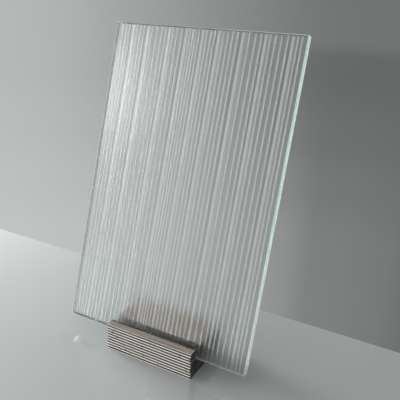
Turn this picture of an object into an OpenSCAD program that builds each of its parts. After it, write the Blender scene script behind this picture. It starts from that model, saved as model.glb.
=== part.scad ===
// Patterned glass sheet, standing in a slotted block of glued corrugated board.
// X runs along the slot, +Y goes from the block's front to its rear, +Z is up.
// The origin is the middle of the block's base.

/* [Glass sheet] */
// Width of the sheet, across its ribs
sheet_w = 200; // [120:5:300]
// Height of the sheet, along its own face
sheet_h = 305; // [200:5:320]
// Thickness of the sheet, from its plain front to the crests of the ribs at its back
sheet_t = 8; // [6:0.5:10]
// Lean of the sheet back from the vertical, in degrees
lean = 16.5; // [12:0.5:17.5]
// Distance of the sheet's middle to the left of the block's middle
sheet_shift = 2; // [0:1:20]
// Width of the ground arris along every edge of the sheet
arris = 0.6; // [0.2:0.1:1]

/* [Ribs] */
// Average distance from one rib to the next
rib_pitch = 4.75; // [4.5:0.25:8]
// Width of a narrow rib
narrow_rib = 1.8; // [1.2:0.1:2.2]
// Width of a wide rib
wide_rib = 2.8; // [2:0.1:3.4]
// Height of every rib above the flats between them
rib_rise = 0.2; // [0.1:0.05:0.45]
// Width of the plain flat along each side of the sheet
edge_flat = 3; // [2:0.5:10]

/* [Block] */
// Length of the block, along the slot
block_l = 96; // [60:1:200]
// Depth of the block, from front to rear
block_d = 64; // [60:1:100]
// Depth of the strips in front of the slot
front_d = 9.5; // [8:0.5:14]
// Number of whole boards under the slot
base_boards = 5; // [3:1:8]
// Number of boards that the slot cuts through
slot_boards = 4; // [3:1:5]
// Gap between the sheet's lower front edge and the strips
sheet_gap = 0.2; // [0.1:0.05:0.5]
// Largest sideways slip between boards, from stacking by hand
stack_slip = 0.4; // [0:0.1:1]

/* [Corrugated board] */
// Thickness of one board
board_t = 3.05; // [2.5:0.05:4]
// Thickness of the flat liner on either side of a board
liner_t = 0.5; // [0.3:0.05:0.6]
// Thickness of the fluted paper between the liners
flute_t = 0.3; // [0.2:0.05:0.4]
// Distance from one flute to the next
flute_pitch = 6.4; // [5:0.1:7.5]

/* [Hidden] */

overlap = 0.1;          // how far a rib reaches into the plain body of the sheet
arc_sides = 96;         // sides of a full circle of a rib's arc
flute_step = 30;        // degrees of flute between two points of its curve
flute_open = 150;       // degrees each side of a flute's middle where it is clear of the liner
slip_turn = 100;        // degrees by which the sideways slip moves on from board to board
flute_turn = 77;        // degrees by which the first flute's place moves on from board to board
glass_tint = [0.78, 0.88, 0.84, 0.5];
board_greys = [[0.56, 0.53, 0.50], [0.62, 0.59, 0.56]];

// The ribs' irregular rhythm: they wander from even spacing by a few slow and quick waves,
// [degrees a rib, degrees at the first rib, size].
rib_waves = [[7, 69, 4.1], [18, 177, 1.9], [48, -9, 0.6], [65, 124, 0.5]];
wide_cycle = 9;         // ribs in one turn of the pattern of narrow and wide
wide_places = [3, 7];   // which of them are wide, counted from 0
function wander(i) = sum([for (wave = rib_waves) wave[2] * sin(wave[0] * i + wave[1])]);
function sum(list, i = 0) = i < len(list) ? list[i] + sum(list, i + 1) : 0;
function rib_x(i) = edge_flat + narrow_rib / 2 + rib_pitch * i + wander(i) - wander(0);
function rib_w(i) = len(search(i % wide_cycle, wide_places)) > 0 ? wide_rib : narrow_rib;
// The ribs stop where the right side's own plain flat begins.
ribs = [for (i = [0 : ceil(sheet_w / rib_pitch) + wide_cycle])
    if (rib_x(i) + rib_w(i) / 2 <= sheet_w - edge_flat) i];
flat_y = sheet_t - rib_rise;

// The block's levels and the slot's two walls.
slot_z = base_boards * board_t;
block_h = slot_z + slot_boards * board_t;
front_y = -block_d / 2;
slot_front_y = front_y + front_d;
// The sheet's lower rear edge stands on the slot's floor, its lower front edge is a gap
// away from the strips, and its ribs lean on the top edge of the rear boards.
sheet_z = slot_z + (sheet_t - arris) * sin(lean);
sheet_y = slot_front_y + sheet_gap - arris * sin(lean);
slot_rear_y = sheet_y + sheet_t * cos(lean)
    + (block_h - sheet_z + sheet_t * sin(lean)) * tan(lean);
rear_d = block_d / 2 - slot_rear_y;

// ---- Glass sheet ----

// One rib, its middle at x: the cap of a circle that stands out of the flats.
module rib_cap(x, width) {
    radius = (width * width / 4 + rib_rise * rib_rise) / (2 * rib_rise);
    translate([x, sheet_t - radius])
        intersection() {
            circle(r = radius, $fn = arc_sides);
            translate([-width / 2 - overlap, radius - rib_rise - overlap])
                square([width + 2 * overlap, rib_rise + overlap]);
        }
}

// Outline across the ribs: a plain front, cut sides with an arris, ribs at the back.
module sheet_section() {
    intersection() {
        union() {
            square([sheet_w, flat_y]);
            for (i = ribs) rib_cap(rib_x(i), rib_w(i));
        }
        arrised_rectangle(sheet_w, sheet_t);
    }
}

// Rectangle with its four corners cut at 45 degrees by the arris.
module arrised_rectangle(width, height) {
    polygon([
        [arris, 0], [width - arris, 0], [width, arris], [width, height - arris],
        [width - arris, height], [arris, height], [0, height - arris], [0, arris]
    ]);
}

// The sheet upright: front on y = 0, lower edge on z = 0, centred in x.
module upright_sheet() {
    translate([-sheet_w / 2, 0, 0])
        intersection() {
            linear_extrude(sheet_h) sheet_section();
            rotate([90, 0, 90]) linear_extrude(sheet_w) arrised_rectangle(sheet_t, sheet_h);
        }
}

module glass_sheet() {
    color(glass_tint)
        translate([-sheet_shift, sheet_y, sheet_z])
        rotate([-lean, 0, 0])
            upright_sheet();
}

// ---- Corrugated board ----

// The open channel on the hollow side of one flute, its middle at y, opening upwards.
module flute_channel(y) {
    liner_z = board_t - liner_t;
    swing = (board_t - 2 * liner_t - flute_t) / 2;
    curve = [for (a = [-flute_open:flute_step:flute_open])
        [y + flute_pitch * a / 360, board_t / 2 + flute_t / 2 - swing * cos(a)]];
    half = flute_pitch * flute_open / 360;
    polygon(concat(curve, [[y + half, liner_z], [y - half, liner_z]]));
}

// End view of a whole board: two liners with the fluted paper between them.
module board_section(phase) {
    difference() {
        square([block_d, board_t]);
        for (y = [(phase - 1) * flute_pitch : flute_pitch : block_d + flute_pitch]) {
            flute_channel(y);
            translate([flute_pitch / 2, board_t]) mirror([0, 1]) flute_channel(y);
        }
    }
}

// The stretch of board number i of the stack, counted from 0, from y over the given
// depth. The flutes run along the slot.
module board(i, y, depth) {
    slip = stack_slip * sin(slip_turn * i);
    phase = (sin(flute_turn * i) + 1) / 2;
    color(board_greys[i % len(board_greys)])
        translate([slip - block_l / 2, 0, i * board_t])
        rotate([90, 0, 90])
        linear_extrude(block_l)
            intersection() {
                translate([front_y, 0]) board_section(phase);
                translate([y, 0]) square([depth, board_t]);
            }
}

module base_board(i) { board(i - 1, front_y, block_d); }
module front_strip(i) { board(base_boards + i - 1, front_y, front_d); }
module rear_board(i) { board(base_boards + i - 1, slot_rear_y, rear_d); }

glass_sheet();
for (i = [1:base_boards])
    base_board(i);
for (i = [1:slot_boards]) {
    front_strip(i);
    rear_board(i);
}
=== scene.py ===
import math

import bmesh
import bpy
from mathutils import Matrix, Vector


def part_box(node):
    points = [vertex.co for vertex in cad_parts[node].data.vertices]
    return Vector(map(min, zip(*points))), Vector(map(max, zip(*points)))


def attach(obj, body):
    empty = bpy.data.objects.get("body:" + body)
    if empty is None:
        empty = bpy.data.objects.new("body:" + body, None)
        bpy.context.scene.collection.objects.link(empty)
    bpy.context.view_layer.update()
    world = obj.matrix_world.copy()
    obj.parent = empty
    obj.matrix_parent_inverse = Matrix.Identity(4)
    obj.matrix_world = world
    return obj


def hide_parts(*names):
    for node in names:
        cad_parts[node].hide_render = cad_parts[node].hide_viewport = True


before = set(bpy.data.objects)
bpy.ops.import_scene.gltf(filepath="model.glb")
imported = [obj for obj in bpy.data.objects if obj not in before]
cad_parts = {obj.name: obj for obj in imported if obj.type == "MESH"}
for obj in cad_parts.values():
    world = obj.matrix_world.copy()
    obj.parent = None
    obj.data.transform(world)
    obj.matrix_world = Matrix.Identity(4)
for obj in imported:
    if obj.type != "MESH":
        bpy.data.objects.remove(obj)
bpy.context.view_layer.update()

# ---- Sizes, in metres ----

MM = 0.001
LEAN = math.radians(16.5)       # how far the sheet leans back from the vertical
SHEET_T = 8 * MM                # plain front to the crests of the ribs
ARRIS = 0.6 * MM                # ground bevel along every edge of the sheet
EDGE_FLAT = 3 * MM              # plain flat along each side of the sheet
RIB_PITCH = 4.75 * MM           # average distance from one rib to the next
NARROW_RIB = 1.8 * MM
WIDE_RIB = 2.8 * MM
RIB_RISE = 0.2 * MM             # height of a rib above the flats
RIB_STEPS = 10                  # facets across one rib
# The ribs' irregular rhythm: degrees a rib, degrees at the first rib, millimetres.
RIB_WAVES = ((7, 69, 4.1), (18, 177, 1.9), (48, -9, 0.6), (65, 124, 0.5))
WIDE_CYCLE = 9                  # ribs in one turn of the pattern of narrow and wide
WIDE_PLACES = (3, 7)            # which of them are wide, counted from 0
FLAT_Y = SHEET_T - RIB_RISE     # where the flats between the ribs are on the upright sheet
SAME_LINE = 0.001 * MM          # points this near to a line are on it
LEAST_LIFT = 0.0001 * MM        # a rib's line that would rise less stays on the flats
FLAT_SLACK = 0.01 * MM          # a face this near to the flats is one of them
ROUND_BELOW = math.radians(20)  # edges that turn less than this are shaded smooth

sheet_low, sheet_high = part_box("glass_sheet")
SHEET_W = sheet_high[0] - sheet_low[0]
SHEET_H = ((sheet_high[2] - sheet_low[2] - (SHEET_T - 2 * ARRIS) * math.sin(LEAN))
           / math.cos(LEAN))
SHEET_PLACE = Vector((
    (sheet_low[0] + sheet_high[0]) / 2,
    sheet_low[1] - ARRIS * math.sin(LEAN),
    sheet_low[2] + (SHEET_T - ARRIS) * math.sin(LEAN),
))

BOARD_T = 3.05 * MM             # one corrugated board
LINER_T = 0.5 * MM              # the flat liner on either side of a board
SLOT_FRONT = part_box("front_strip_1")[1][1]
SLOT_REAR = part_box("rear_board_1")[0][1]
SLOT_SHADOW_WIDTH = 1.6 * MM             # width of the painted shadow along the slot's front edge
LINER_SLACK = 0.02 * MM         # a face this far into a liner still counts as flute
WALL_SLACK = 0.05 * MM          # a face this near to the slot's rear plane is its wall

TABLE_WIDTH = 3.2
TABLE_DEPTH = 2.4
TABLE_BEHIND = 0.118            # from the block's middle to the table's far edge

# ---- Camera settings ----

LENS = 49.5                     # millimetres, as the sensor's width is
SENSOR = 36
NEAREST_SEEN = 10 * MM
CAMERA_PLACE = (0.2498, -0.4057, 0.3367)
CAMERA_TURN = math.radians(28.0)    # to the left of +Y
CAMERA_TILT = math.radians(20.3)    # below the level
CAMERA_ROLL = math.radians(2.35)

# ---- Levels of the room, and lamps ----

HALF_TURN = 180                 # degrees
# Level of the room around the object by azimuth in degrees, 0 being +Y and left negative:
# as it is seen, directly or in the glass, and as it lights what stands on the table.
ROOM_SEEN = ((-180, 0.5), (-165, 0.5), (-140, 0.6), (-105, 0.66), (-75, 0.66), (-64, 0.6),
             (-56, 0.50), (-48, 0.485), (-42, 0.455), (-37, 0.38), (-31, 0.325), (-25, 0.24),
             (-19, 0.15), (-13, 0.138), (0, 0.135), (25, 0.10), (60, 0.15), (100, 0.30),
             (140, 0.40), (165, 0.5), (180, 0.5))
ROOM_CAST = ((-180, 0.9), (-140, 0.9), (-105, 0.0), (-64, 0.0), (-48, 0.6), (0, 0.6), (25, 0.5),
             (60, 0.3), (100, 0.2), (140, 0.2), (180, 0.9))
# Level added overhead, by the sine of the elevation.
TOP_SEEN = ((0.15, 0.0), (0.45, 0.03))
TOP_CAST = ((0.35, 0.0), (0.85, 0.66))
# Share of the room's level that is left above the eye line, by the sine of the elevation.
UPPER_SHARE = ((-0.05, 1.0), (0.35, 0.69))
# Level added below the eye line by the sine of the elevation, and its share by azimuth.
LOW_GLOW = ((-0.50, 0.075), (-0.40, 0.070), (-0.31, 0.045), (-0.22, 0.020), (-0.12, 0.0))
GLOW_SHARE = ((-60, 1.0), (-45, 1.0), (-36, 1.5), (-18, 1.75), (-15.5, 1.05), (-12, 1.0),
              (-8, 0.8), (-4, 0.4), (60, 0.4), (180, 1.0))
# Level added to the upper wall on the right, in the same way.
HIGH_BAND = ((-0.09, 0.0), (-0.062, 0.036), (0.15, 0.036), (0.4, 0.0))
BAND_SHARE = ((-30, 0.0), (-19, 1.0), (40, 1.0), (80, 0.0))
ROOM_TINT = {"Red": 0.975, "Green": 1.0, "Blue": 0.995}

# Name, place, where it points, width and height, watts, whether it shows through the glass.
# Only a lamp behind the plane of the sheet may: one in front of it would mottle the ribs.
LAMPS = (
    ("left_low", (-1.0, 0.2, 0.12), (0, 0, 0.1), (0.3, 0.2), 32, True),
    ("left_wide", (-1.15, 0.5, 0.35), (0, 0.02, 0.15), (0.8, 0.65), 6, True),
    ("left_front", (-1.15, -0.3, 0.35), (0, 0.02, 0.15), (0.8, 0.65), 16, False),
    ("front_low", (0.05, -1.1, 0.1), (0, 0, 0.02), (0.6, 0.16), 5.0, False),
    ("window_low", (-0.7, 0.4, 0.12), (0, 0.02, 0.1), (0.7, 0.2), 0.2, True),
)

# ---- Colours and grain ----

# Noise: cells a metre, detail, and density along the axes, where less than 1 stretches it.
EVEN = (1, 1, 1)
CLOUDS = (7, 3, EVEN)
GRINDING = (900, 4, (1, 1, 0.2))
FIBRES = (900, 6, (0.35, 1, 1))
NICKS = (450, 2, (1, 0.1, 1.6))
STREAKS = (700, 4, (0.04, 1, 1))
DASHES = (700, 1, (1, 0.1, 0.1))

TABLE_TINTS = ((0.305, 0.320, 0.314), (0.325, 0.341, 0.335))
TABLE_ROUGHNESS = (0.07, 0.10)
TABLE_IOR = 2.3                 # high, for a polished top's sheen

GLASS_IOR = 1.52
# Glass: least and most roughness, the noise between them, and colour. The left edge's and the
# flats' colours, darker than the front's and the ribs', are painted shade.
GLASS = {
    "clear_glass": ((0.0, 0.03), (60, 4, EVEN), (0.97, 0.985, 0.98)),
    "lit_edge": ((0.75, 0.85), (200, 4, EVEN), (0.55, 0.59, 0.58)),
    "satin_glass": ((0.34, 0.36), (350, 4, EVEN), (0.66, 0.70, 0.70)),
    "matt_rib": ((0.69, 0.71), (500, 4, EVEN), (0.94, 0.98, 0.985)),
}
# Ground edges: how clear, least and most roughness, and tints along an axis of the sheet. The
# tints are painted light and shade: the right edge paler towards the bottom, the top and lower
# edges dark at the left and paler at the right.
GROUND = {
    "ground_edge": (0.3, (0.6, 0.7), "Z", (
        (0.80, 1.0, 0.92), (0.66, 0.93, 0.82), (0.38, 0.62, 0.53), (0.40, 0.64, 0.555),
        (0.40, 0.64, 0.555))),
    "top_edge": (0.3, (0.5, 0.6), "X", (
        (0.16, 0.20, 0.18), (0.22, 0.28, 0.25), (0.40, 0.50, 0.45))),
    "lower_edge": (0.4, (0.6, 0.7), "X", (
        (0.14, 0.16, 0.15), (0.30, 0.34, 0.32), (0.45, 0.54, 0.50), (0.88, 0.99, 0.95))),
}
EDGE_GLOW = 40 * MM             # how far light spreads inside a ground edge
EDGE_WANDER = 0.04              # how far the grain moves a tint, as a share of the edge

# Paper: dark and pale tint, the noise between them, and the range that it is spread over.
SOFT = (-0.75, 1.75)
PAPERS = {
    "liner": ((0.13, 0.108, 0.093), (0.36, 0.302, 0.262), STREAKS, SOFT),
    "cut": ((0.07, 0.063, 0.056), (0.76, 0.725, 0.690), NICKS, (-2.9, 7.4)),
    # Painted shade: the block's ends are painted dark, as they face away from the light.
    "end_shade": ((0.03, 0.028, 0.026), (0.085, 0.080, 0.075), FIBRES, SOFT),
    # Painted shade: the flutes' hollows between the liners are painted dark.
    "flute": ((0.07, 0.064, 0.058), (0.13, 0.119, 0.108), FIBRES, SOFT),
    # Painted light: the slot's rear wall is painted pale, for light that reaches it through the
    # glass.
    "slot_wall_light": ((0.74, 0.68, 0.63), (1.0, 0.95, 0.90), NICKS, SOFT),
    # Painted shadow: a dark band on the strips' tops along the slot's front edge, for the shaded
    # gap to the glass.
    "slot_edge_shadow": ((0.015, 0.013, 0.012), (0.16, 0.142, 0.128), DASHES, (-2.0, 2.4)),
}
PAPER_ROUGHNESS = 0.85
FIBRE_BUMP = 0.25               # strength of the fibres' relief
FIBRE_RISE = 0.2 * MM
SQUARE_ON = 0.5                 # a face looks along an axis if its normal has more than this


# ---- Node helpers ----

def math_node(tree, operation, first, second=0):
    node = tree.nodes.new("ShaderNodeMath")
    node.operation = operation
    for socket, value in zip(node.inputs, (first, second)):
        if isinstance(value, (int, float)):
            socket.default_value = value
        else:
            tree.links.new(value, socket)
    return node.outputs[0]


def plus(tree, first, second):
    return math_node(tree, "ADD", first, second)


def minus(tree, first, second):
    return math_node(tree, "SUBTRACT", first, second)


def times(tree, first, second):
    return math_node(tree, "MULTIPLY", first, second)


def distance(tree, first, second):
    return math_node(tree, "ABSOLUTE", minus(tree, first, second))


def colour_ramp(tree, source, stops, smooth="LINEAR"):
    """A colour that follows source from 0 to 1, each stop being a place and its colour."""
    ramp = tree.nodes.new("ShaderNodeValToRGB")
    ramp.color_ramp.interpolation = smooth
    while len(ramp.color_ramp.elements) < len(stops):
        ramp.color_ramp.elements.new(0.5)
    for element, (place, colour) in zip(ramp.color_ramp.elements, stops):
        element.position = place
        element.color = (*colour, 1)
    tree.links.new(source, ramp.inputs["Fac"])
    return ramp.outputs["Color"]


def tinted(tree, source, tints):
    """The tints one after another, evenly spaced, as source goes from 0 to 1."""
    last = len(tints) - 1
    return colour_ramp(tree, source, [(step / last, tint) for step, tint in enumerate(tints)])


def level_ramp(tree, source, reach, stops, smooth="EASE"):
    """A level that follows the stops over source, which runs from -reach to reach."""
    way = tree.nodes.new("ShaderNodeMapRange")
    way.inputs["From Min"].default_value = -reach
    way.inputs["From Max"].default_value = reach
    tree.links.new(source, way.inputs["Value"])
    greys = [((at + reach) / (2 * reach), (level, level, level)) for at, level in stops]
    return colour_ramp(tree, way.outputs["Result"], greys, smooth)


def ranged(tree, source, low, high):
    """Source, which runs from 0 to 1, spread from low to high."""
    reach = tree.nodes.new("ShaderNodeMapRange")
    reach.inputs["To Min"].default_value = low
    reach.inputs["To Max"].default_value = high
    tree.links.new(source, reach.inputs["Value"])
    return reach.outputs["Result"]


def object_noise(tree, scale, detail, density):
    place = tree.nodes.new("ShaderNodeTexCoord")
    mapping = tree.nodes.new("ShaderNodeMapping")
    noise = tree.nodes.new("ShaderNodeTexNoise")
    mapping.inputs["Scale"].default_value = density
    noise.inputs["Scale"].default_value = scale
    noise.inputs["Detail"].default_value = detail
    tree.links.new(place.outputs["Object"], mapping.inputs["Vector"])
    tree.links.new(mapping.outputs["Vector"], noise.inputs["Vector"])
    return noise.outputs["Fac"]


def split_axes(tree, vector):
    """The X, Y and Z of a vector."""
    split = tree.nodes.new("ShaderNodeSeparateXYZ")
    tree.links.new(vector, split.inputs[0])
    return split.outputs


def object_place(tree):
    return split_axes(tree, tree.nodes.new("ShaderNodeTexCoord").outputs["Object"])


# ---- Camera, table and light ----

def make_camera():
    data = bpy.data.cameras.new("camera")
    camera = bpy.data.objects.new("camera", data)
    bpy.context.scene.collection.objects.link(camera)
    data.lens = LENS
    data.sensor_width = SENSOR
    data.clip_start = NEAREST_SEEN
    aim = (Matrix.Rotation(CAMERA_TURN, 4, "Z")
           @ Matrix.Rotation(math.pi / 2 - CAMERA_TILT, 4, "X")
           @ Matrix.Rotation(CAMERA_ROLL, 4, "Z"))
    camera.matrix_world = Matrix.Translation(CAMERA_PLACE) @ aim
    bpy.context.scene.camera = camera


def make_table():
    """A plain pale table top whose far edge runs a hand's width behind the block."""
    middle = (0, TABLE_BEHIND - TABLE_DEPTH / 2, 0)
    bpy.ops.mesh.primitive_plane_add(size=1, location=middle)
    table = bpy.context.object
    table.name = "table_top"
    table.scale = (TABLE_WIDTH, TABLE_DEPTH, 1)
    bpy.ops.object.transform_apply(location=True, rotation=False, scale=True)
    table.data.materials.append(table_finish())


def make_surroundings():
    """A grey room, bright on the left and falling off to the right."""
    world = bpy.data.worlds.new("grey_room")
    bpy.context.scene.world = world
    world.cycles.sampling_method = "NONE"
    world.use_nodes = True
    tree = world.node_tree
    tree.nodes.clear()
    out = tree.nodes.new("ShaderNodeOutputWorld")
    light = tree.nodes.new("ShaderNodeBackground")
    way = split_axes(tree, tree.nodes.new("ShaderNodeTexCoord").outputs["Generated"])
    turn = times(tree, math_node(tree, "ARCTAN2", way["X"], way["Y"]), HALF_TURN / math.pi)
    rise = way["Z"]

    glow, band = (
        times(tree, level_ramp(tree, rise, 1, levels), level_ramp(tree, turn, HALF_TURN, shares))
        for levels, shares in ((LOW_GLOW, GLOW_SHARE), (HIGH_BAND, BAND_SHARE)))
    upper = level_ramp(tree, rise, 1, UPPER_SHARE)
    seen, cast = (
        plus(tree, times(tree, level_ramp(tree, turn, HALF_TURN, room, "B_SPLINE"), upper),
             level_ramp(tree, rise, 1, top))
        for room, top in ((ROOM_SEEN, TOP_SEEN), (ROOM_CAST, TOP_CAST)))

    # The camera, gloss and glass see one room, and the other lights what is on the table.
    rays = tree.nodes.new("ShaderNodeLightPath").outputs
    shows = math_node(tree, "MAXIMUM", rays["Is Camera Ray"],
                      math_node(tree, "MAXIMUM", rays["Is Glossy Ray"],
                                rays["Is Transmission Ray"]))
    level = plus(tree, plus(tree, cast, times(tree, minus(tree, seen, cast), shows)),
                 plus(tree, glow, band))
    tint = tree.nodes.new("ShaderNodeCombineColor")
    for channel, share in ROOM_TINT.items():
        tree.links.new(times(tree, level, share), tint.inputs[channel])
    tree.links.new(tint.outputs[0], light.inputs["Color"])
    tree.links.new(light.outputs[0], out.inputs["Surface"])


def add_softbox(name, place, aim, size, power, through):
    data = bpy.data.lights.new(name, "AREA")
    data.shape = "RECTANGLE"
    data.size, data.size_y = size
    data.energy = power
    lamp = bpy.data.objects.new(name, data)
    bpy.context.scene.collection.objects.link(lamp)
    lamp.location = place
    lamp.rotation_euler = (Vector(aim) - Vector(place)).to_track_quat("-Z", "Y").to_euler()
    lamp.visible_camera = False
    lamp.visible_glossy = False
    lamp.visible_transmission = through


# ---- Finishes ----

def new_finish(name):
    """A material, its nodes and its shader."""
    finish = bpy.data.materials.new(name)
    finish.use_nodes = True
    return finish, finish.node_tree, finish.node_tree.nodes["Principled BSDF"]


def table_finish():
    """Pale grey and polished, with faint clouds of tint and gloss."""
    finish, tree, shader = new_finish("table_top")
    clouds = object_noise(tree, *CLOUDS)
    tree.links.new(tinted(tree, clouds, TABLE_TINTS), shader.inputs["Base Color"])
    tree.links.new(ranged(tree, clouds, *TABLE_ROUGHNESS), shader.inputs["Roughness"])
    shader.inputs["IOR"].default_value = TABLE_IOR
    return finish


def glass_finish(name):
    """Glass whose roughness wanders between two values."""
    finish, tree, shader = new_finish(name)
    roughness, grain, colour = GLASS[name]
    shader.inputs["Base Color"].default_value = (*colour, 1)
    shader.inputs["IOR"].default_value = GLASS_IOR
    shader.inputs["Transmission Weight"].default_value = 1
    tree.links.new(ranged(tree, object_noise(tree, *grain), *roughness),
                   shader.inputs["Roughness"])
    return finish


def ground_finish(name):
    """A cut edge, ground fine: it gathers light and shows the glass's pale green. The tints
    follow one another over the sheet's height, or over its width, and paint light and shade
    along the edge."""
    finish, tree, shader = new_finish(name)
    clear, roughness, axis, tints = GROUND[name]
    shader.inputs["IOR"].default_value = GLASS_IOR
    shader.inputs["Transmission Weight"].default_value = clear
    shader.inputs["Subsurface Weight"].default_value = 1
    shader.inputs["Subsurface Radius"].default_value = (1, 1, 1)
    shader.inputs["Subsurface Scale"].default_value = EDGE_GLOW
    grain = object_noise(tree, *GRINDING)
    tree.links.new(ranged(tree, grain, *roughness), shader.inputs["Roughness"])
    side = "XYZ".index(axis)
    way = math_node(tree, "DIVIDE", minus(tree, object_place(tree)[axis], sheet_low[side]),
                    sheet_high[side] - sheet_low[side])
    way = plus(tree, way, ranged(tree, grain, -EDGE_WANDER, EDGE_WANDER))
    tree.links.new(tinted(tree, way, tints), shader.inputs["Base Color"])
    return finish


def board_finish():
    """Grey board: brown-grey liners, pale paper where the front and rear are cut, ends and
    flutes painted dark as shade, the slot's rear wall painted pale as light, and a painted
    shadow along the slot's front edge."""
    finish, tree, shader = new_finish("grey_board")
    facing = split_axes(tree, tree.nodes.new("ShaderNodeNewGeometry").outputs["True Normal"])
    place = object_place(tree)

    def paper(part):
        dark, pale, noise, spread = PAPERS[part]
        return tinted(tree, ranged(tree, object_noise(tree, *noise), *spread), (dark, pale))

    def mixed(share, first, second):
        mix = tree.nodes.new("ShaderNodeMix")
        mix.data_type = "RGBA"
        for socket, source in (("Factor", share), ("A", first), ("B", second)):
            tree.links.new(source, mix.inputs[socket])
        return mix.outputs["Result"]

    def faces(axis):
        return math_node(tree, "GREATER_THAN",
                         math_node(tree, "ABSOLUTE", facing[axis]), SQUARE_ON)

    def near(depth, reach):
        return math_node(tree, "LESS_THAN", distance(tree, place["Y"], depth), reach)

    # Height within one board, and whether that is between the two liners, where the flutes are
    # painted dark as shade.
    level = math_node(tree, "MODULO", place["Z"], BOARD_T)
    flute_shade_mask = math_node(tree, "LESS_THAN", distance(tree, level, BOARD_T / 2),
                       BOARD_T / 2 - LINER_T + LINER_SLACK)
    # Painted light on the slot's rear wall, which is painted pale.
    slot_wall_light = times(tree, faces("Y"), near(SLOT_REAR, WALL_SLACK))
    # Painted shadow along the slot's front edge, on the strips' tops.
    slot_edge_shadow = times(tree, faces("Z"), near(SLOT_FRONT, SLOT_SHADOW_WIDTH))

    # Faces along X are the ends, painted dark as shade; the rest takes the cut paper.
    tint = mixed(faces("X"), paper("cut"), paper("end_shade"))
    tint = mixed(faces("Z"), tint, paper("liner"))
    tint = mixed(flute_shade_mask, tint, paper("flute"))
    tint = mixed(slot_wall_light, tint, paper("slot_wall_light"))
    tint = mixed(slot_edge_shadow, tint, paper("slot_edge_shadow"))
    tree.links.new(tint, shader.inputs["Base Color"])
    bump = tree.nodes.new("ShaderNodeBump")
    bump.inputs["Strength"].default_value = FIBRE_BUMP
    bump.inputs["Distance"].default_value = FIBRE_RISE
    tree.links.new(object_noise(tree, *FIBRES), bump.inputs["Height"])
    tree.links.new(bump.outputs["Normal"], shader.inputs["Normal"])
    shader.inputs["Roughness"].default_value = PAPER_ROUGHNESS
    return finish


# ---- The glass sheet ----

def wander(i):
    """How far rib i lies from even spacing."""
    return sum(size * MM * math.sin(math.radians(step * i + first))
               for step, first, size in RIB_WAVES)


def rib_rows():
    """Middle and width of every rib, from the sheet's left edge."""
    rows, i = [], 0
    while True:
        width = WIDE_RIB if i % WIDE_CYCLE in WIDE_PLACES else NARROW_RIB
        x = EDGE_FLAT + NARROW_RIB / 2 + RIB_PITCH * i + wander(i) - wander(0)
        if x > SHEET_W:
            return rows
        if x + width / 2 <= SHEET_W - EDGE_FLAT:
            rows.append((x, width))
        i += 1


def rib_arc(width):
    """Points across one rib: offset from its middle, height above the flats."""
    radius = (width * width / 4 + RIB_RISE * RIB_RISE) / (2 * RIB_RISE)
    reach = math.asin(width / 2 / radius)
    turns = [reach * (2 * step / RIB_STEPS - 1) for step in range(RIB_STEPS + 1)]
    return [(radius * math.sin(turn), radius * (math.cos(turn) - math.cos(reach)))
            for turn in turns]


def cut_across(point, normal, clear=False):
    """Cuts the whole mesh along a plane, and takes off what is past it where clear is set."""
    bpy.ops.mesh.select_all(action="SELECT")
    bpy.ops.mesh.bisect(plane_co=point, plane_no=normal, use_fill=clear, clear_outer=clear)


def lift_line(mesh, x, lift):
    """Moves the line of points at x on the ribbed side out by lift."""
    for vertex in mesh.verts:
        vertex.select = (abs(vertex.co.x - x) < SAME_LINE
                         and abs(vertex.co.y - FLAT_Y) < SAME_LINE)
    mesh.select_flush_mode()
    bpy.ops.transform.translate(value=(0, lift, 0))


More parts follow.
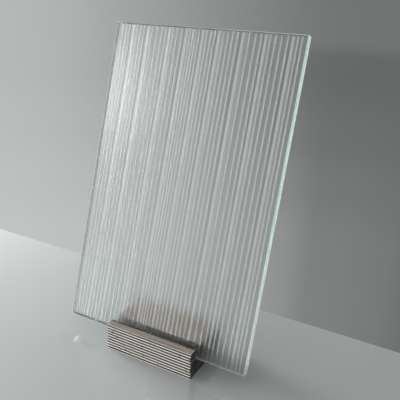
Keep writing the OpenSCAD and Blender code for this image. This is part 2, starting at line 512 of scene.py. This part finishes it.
def make_sheet():
    """The sheet is cut and ground upright on its lower edge, and then leaned in its slot."""
    bpy.ops.object.select_all(action="DESELECT")
    bpy.ops.mesh.primitive_cube_add(size=1, location=(0, FLAT_Y / 2, SHEET_H / 2))
    sheet = bpy.context.object
    sheet.name = "ribbed_sheet"
    sheet.scale = (SHEET_W, FLAT_Y, SHEET_H)
    bpy.ops.object.transform_apply(location=True, rotation=False, scale=True)

    # Cut the slab lengthwise at every point of every arc, then lift the arcs' lines.
    half = SHEET_W / 2
    lifts = [(middle - half + offset, lift)
             for middle, width in rib_rows() for offset, lift in rib_arc(width)]
    bpy.ops.object.mode_set(mode="EDIT")
    bpy.ops.mesh.select_mode(type="VERT")
    for x, _ in lifts:
        cut_across((x, 0, 0), (1, 0, 0))
    mesh = bmesh.from_edit_mesh(sheet.data)
    for x, lift in lifts:
        if lift > LEAST_LIFT:
            lift_line(mesh, x, lift)

    # Grind the arris along all eight long edges.
    for y, side_y in ((0, -1), (SHEET_T, 1)):
        inner = y - side_y * ARRIS
        cut_across((half, inner, 0), (1, side_y, 0), clear=True)
        cut_across((-half, inner, 0), (-1, side_y, 0), clear=True)
        cut_across((0, inner, SHEET_H), (0, side_y, 1), clear=True)
        cut_across((0, inner, 0), (0, side_y, -1), clear=True)
    bpy.ops.object.mode_set(mode="OBJECT")

    # Where each side's finish comes in the sheet's list, which is filled in the same order.
    front, right, left, top, bottom, flat, rib = range(7)
    for finish in (glass_finish("clear_glass"), ground_finish("ground_edge"),
                   glass_finish("lit_edge"), ground_finish("top_edge"),
                   ground_finish("lower_edge"), glass_finish("satin_glass"),
                   glass_finish("matt_rib")):
        sheet.data.materials.append(finish)
    for face in sheet.data.polygons:
        centre = face.center
        if half - abs(centre.x) < ARRIS:
            face.material_index = right if centre.x > 0 else left
        elif min(centre.z, SHEET_H - centre.z) < ARRIS:
            face.material_index = top if centre.z > SHEET_H / 2 else bottom
        elif centre.y > FLAT_Y + FLAT_SLACK:
            face.material_index = rib
        else:
            face.material_index = flat if centre.y > FLAT_Y - FLAT_SLACK else front

    bpy.ops.object.shade_smooth_by_angle(angle=ROUND_BELOW)
    sheet.rotation_euler.x = -LEAN
    sheet.location = SHEET_PLACE
    bpy.ops.object.transform_apply(location=True, rotation=True, scale=True)
    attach(sheet, "root")
    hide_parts("glass_sheet")


# ---- The block of boards ----

def finish_boards():
    board = board_finish()
    for name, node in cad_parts.items():
        if name != "glass_sheet":
            node.data.materials.clear()
            node.data.materials.append(board)


make_camera()
make_surroundings()
for lamp in LAMPS:
    add_softbox(*lamp)
make_table()
make_sheet()
finish_boards()

bpy.context.scene.view_settings.view_transform = "Standard"
